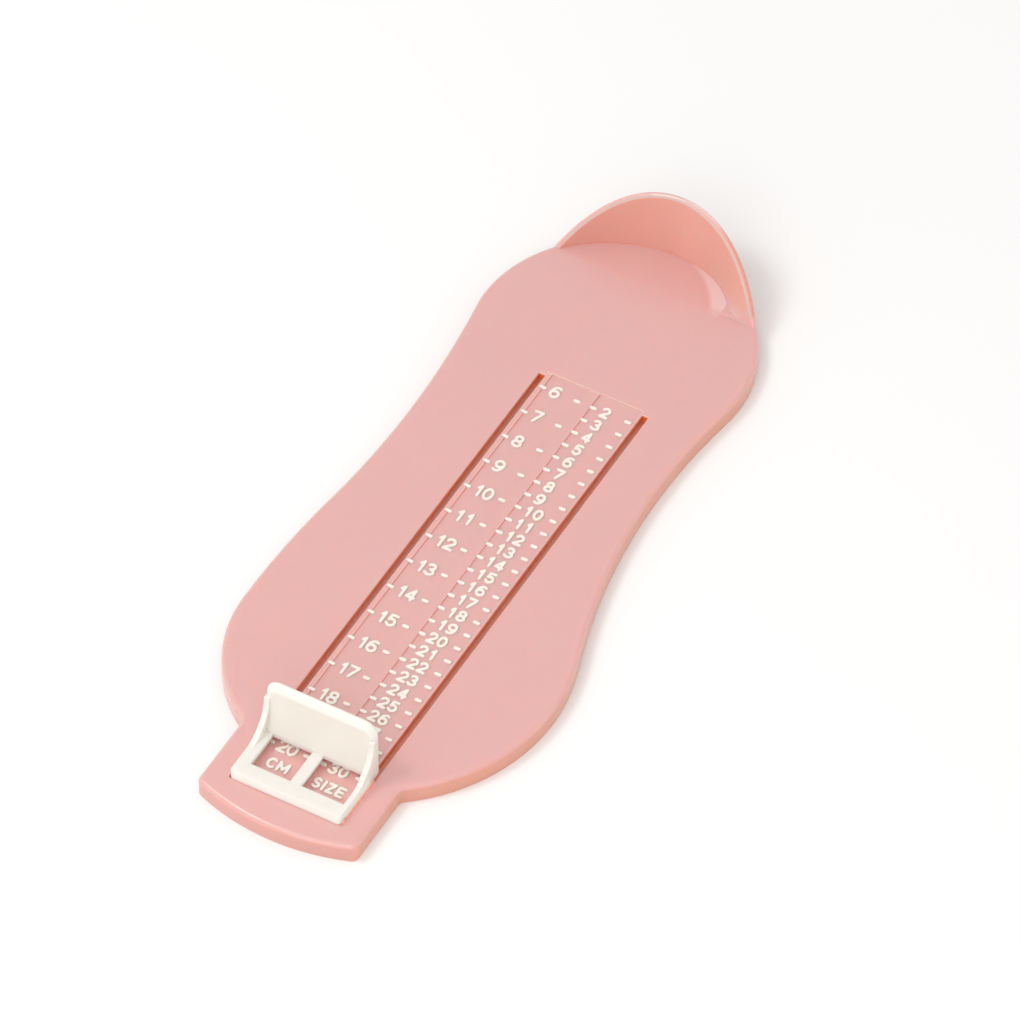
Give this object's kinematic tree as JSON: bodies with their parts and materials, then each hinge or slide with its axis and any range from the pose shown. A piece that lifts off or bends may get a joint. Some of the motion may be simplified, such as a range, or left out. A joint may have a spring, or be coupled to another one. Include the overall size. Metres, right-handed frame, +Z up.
{
  "type": "foot measuring device",
  "caption": "Sole-shaped plastic foot gauge: a heel wall at one end and a toe stop that slides along two slots beside a length scale.",
  "frame": {"origin": "centre of the overall box, on the surface that the board stands on", "axes": "+Y along the scale from the toe tab to the heel wall, +Z up"},
  "size_m": [0.0886, 0.2262, 0.026],
  "materials": {
    "board_plastic": "semi-gloss pale pink",
    "slider_plastic": "semi-gloss ivory"
  },
  "bodies": {
    "board": {"board": "board_plastic"},
    "toe_stop": {"slider": "slider_plastic", "slider_keeper": "slider_plastic"}
  },
  "joints": [
    {"name": "toe_stop_slide", "type": "slide", "parent": "board", "child": "toe_stop", "axis": [0, 1, 0], "range_m": [-0.0026, 0.142]}
  ]
}
